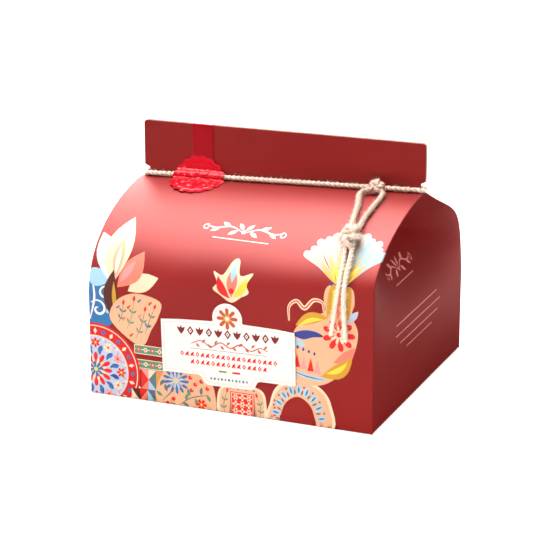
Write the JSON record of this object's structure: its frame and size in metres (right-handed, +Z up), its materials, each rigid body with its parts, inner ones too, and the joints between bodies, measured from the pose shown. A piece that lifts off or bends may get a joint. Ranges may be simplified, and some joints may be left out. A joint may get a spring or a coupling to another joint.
{
  "type": "panettone gift carton",
  "caption": "Tied gift carton for a low panettone: folded board box with a rounded roof, upright closing fin, cord, label and seal, and the wrapped loaf inside.",
  "frame": {"origin": "middle of the base, on the surface the carton stands on", "axes": "+Z up, -Y towards the front with the label, +X towards the end wall that the camera sees"},
  "size_m": [0.232, 0.2109, 0.1944],
  "materials": {
    "board": "coated, satin pearlescent red",
    "label_paper": "uncoated, fine woven texture",
    "seal_foil": "embossed, high gloss",
    "cord_cotton": "twisted, raw ivory",
    "crust": "baked crust, matt",
    "mould_paper": "corrugated baking paper",
    "clear_film": "clear, crinkled",
    "tie_wire": "gold-coated"
  },
  "bodies": {
    "root": {"front_panel": "board", "back_panel": "board", "end_wall_left": "board", "end_wall_right": "board", "end_flap_left_front": "board", "end_flap_left_back": "board", "end_flap_right_front": "board", "end_flap_right_back": "board", "fin_front": "board", "fin_back": "board", "fin_tuck_left": "board", "fin_tuck_right": "board", "base_flap_front": "board", "base_flap_back": "board", "base_flap_left": "board", "base_flap_right": "board", "glue_flap": "board", "label": "label_paper", "seal_tape": "seal_foil", "seal": "seal_foil", "cord_neck": "cord_cotton", "cord_knot_upper": "cord_cotton", "cord_strand_left": "cord_cotton", "cord_strand_right": "cord_cotton", "cord_knot_lower": "cord_cotton", "cord_tail_left": "cord_cotton", "cord_tail_right": "cord_cotton", "loaf": "crust", "baking_mould": "mould_paper", "inner_bag": "clear_film", "bag_tie": "tie_wire"}
  },
  "joints": []
}
